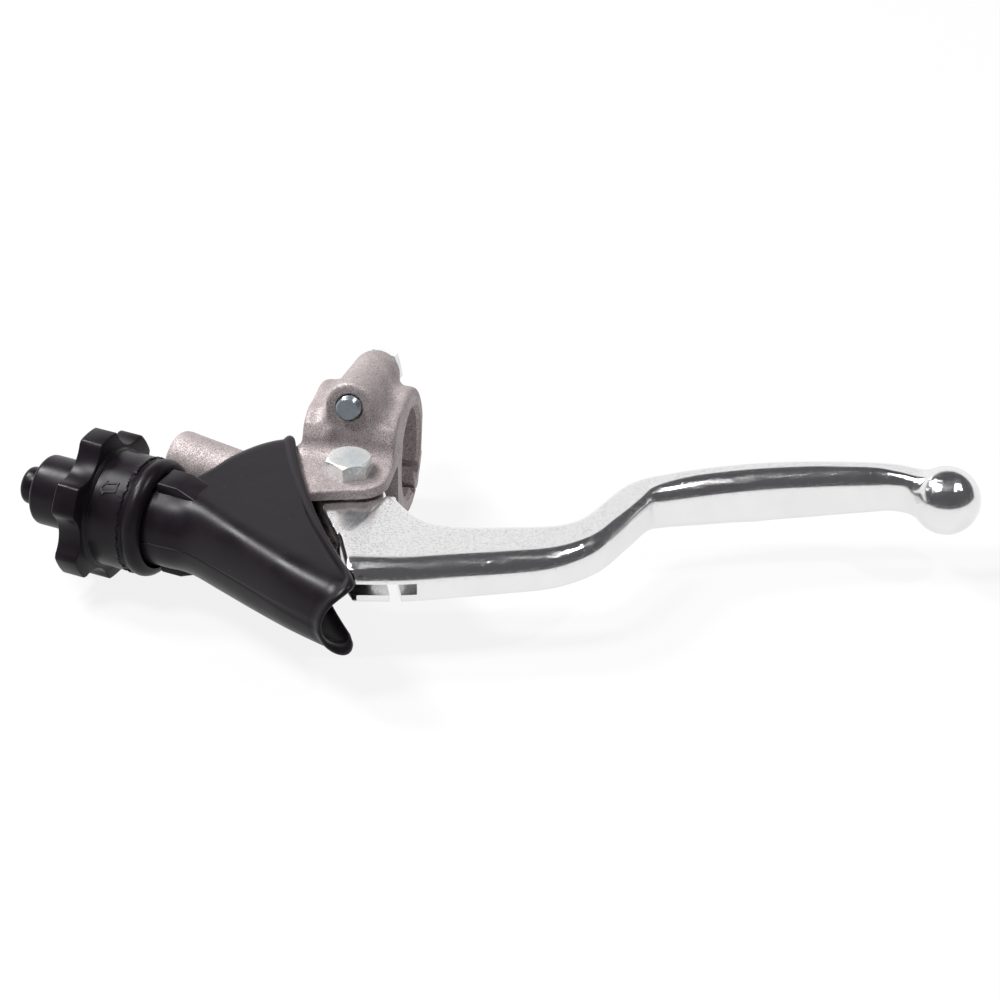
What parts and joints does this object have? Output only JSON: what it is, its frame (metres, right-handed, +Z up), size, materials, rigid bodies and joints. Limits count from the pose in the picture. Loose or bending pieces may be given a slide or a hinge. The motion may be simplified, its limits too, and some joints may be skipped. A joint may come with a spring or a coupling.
{
  "type": "clutch lever assembly",
  "caption": "Handlebar clutch lever on a clamp-on perch, with a ball-ended lever, rubber dust boot and hand-turned star-wheel cable adjuster.",
  "frame": {"origin": "centre of the 22.2 mm handlebar bore, midway along the clamp", "axes": "+X along the handlebar towards the lever's ball end, +Y towards the rider, +Z up along the lever's pivot bolt towards its head"},
  "size_m": [0.2278, 0.1044, 0.0447],
  "materials": {
    "cast_aluminium": "bead-blasted die casting, fine grey grain",
    "polished_aluminium": "tumbled and polished, bright, with fine pits",
    "machined_aluminium": "turned",
    "zinc_steel": "bright zinc plate, bluish",
    "bright_steel": "ground",
    "bronze": "sintered, oiled",
    "nylon": "moulded",
    "black_rubber": "moulded, satin"
  },
  "bodies": {
    "perch": {"perch_body": "cast_aluminium", "clamp_cap": "cast_aluminium", "clamp_bolt": "zinc_steel", "pivot_bolt": "zinc_steel", "pivot_nut": "zinc_steel", "nut_insert": "nylon", "dust_boot": "black_rubber", "detent_balls": "bright_steel", "detent_springs": "bright_steel"},
    "lever": {"lever_blade": "polished_aluminium", "pivot_bush": "bronze"},
    "cable_end": {"cable_seat": "bright_steel", "cable_seal": "black_rubber"},
    "dial": {"dial_cover": "black_rubber", "dial_hub": "machined_aluminium", "adjuster_screw": "zinc_steel"}
  },
  "joints": [
    {"name": "lever_pivot", "type": "hinge", "parent": "perch", "child": "lever", "pos_m": [0.0019, -0.025, 0], "axis": [0, 0, 1], "range_deg": [-36, 0]},
    {"name": "adjuster_travel", "type": "slide", "parent": "perch", "child": "cable_end", "axis": [-0.9632, 0.2689, 0], "range_m": [0, 0.0075]},
    {"name": "adjuster_turn", "type": "hinge", "parent": "cable_end", "child": "dial", "pos_m": [-0.03926, -0.04227, 0], "axis": [-0.9632, 0.2689, 0], "range_deg": [0, 2160]}
  ],
  "couplings": [
    {"joint": "adjuster_travel", "follows": "adjuster_turn", "m_per_rad": 0.00019894}
  ]
}
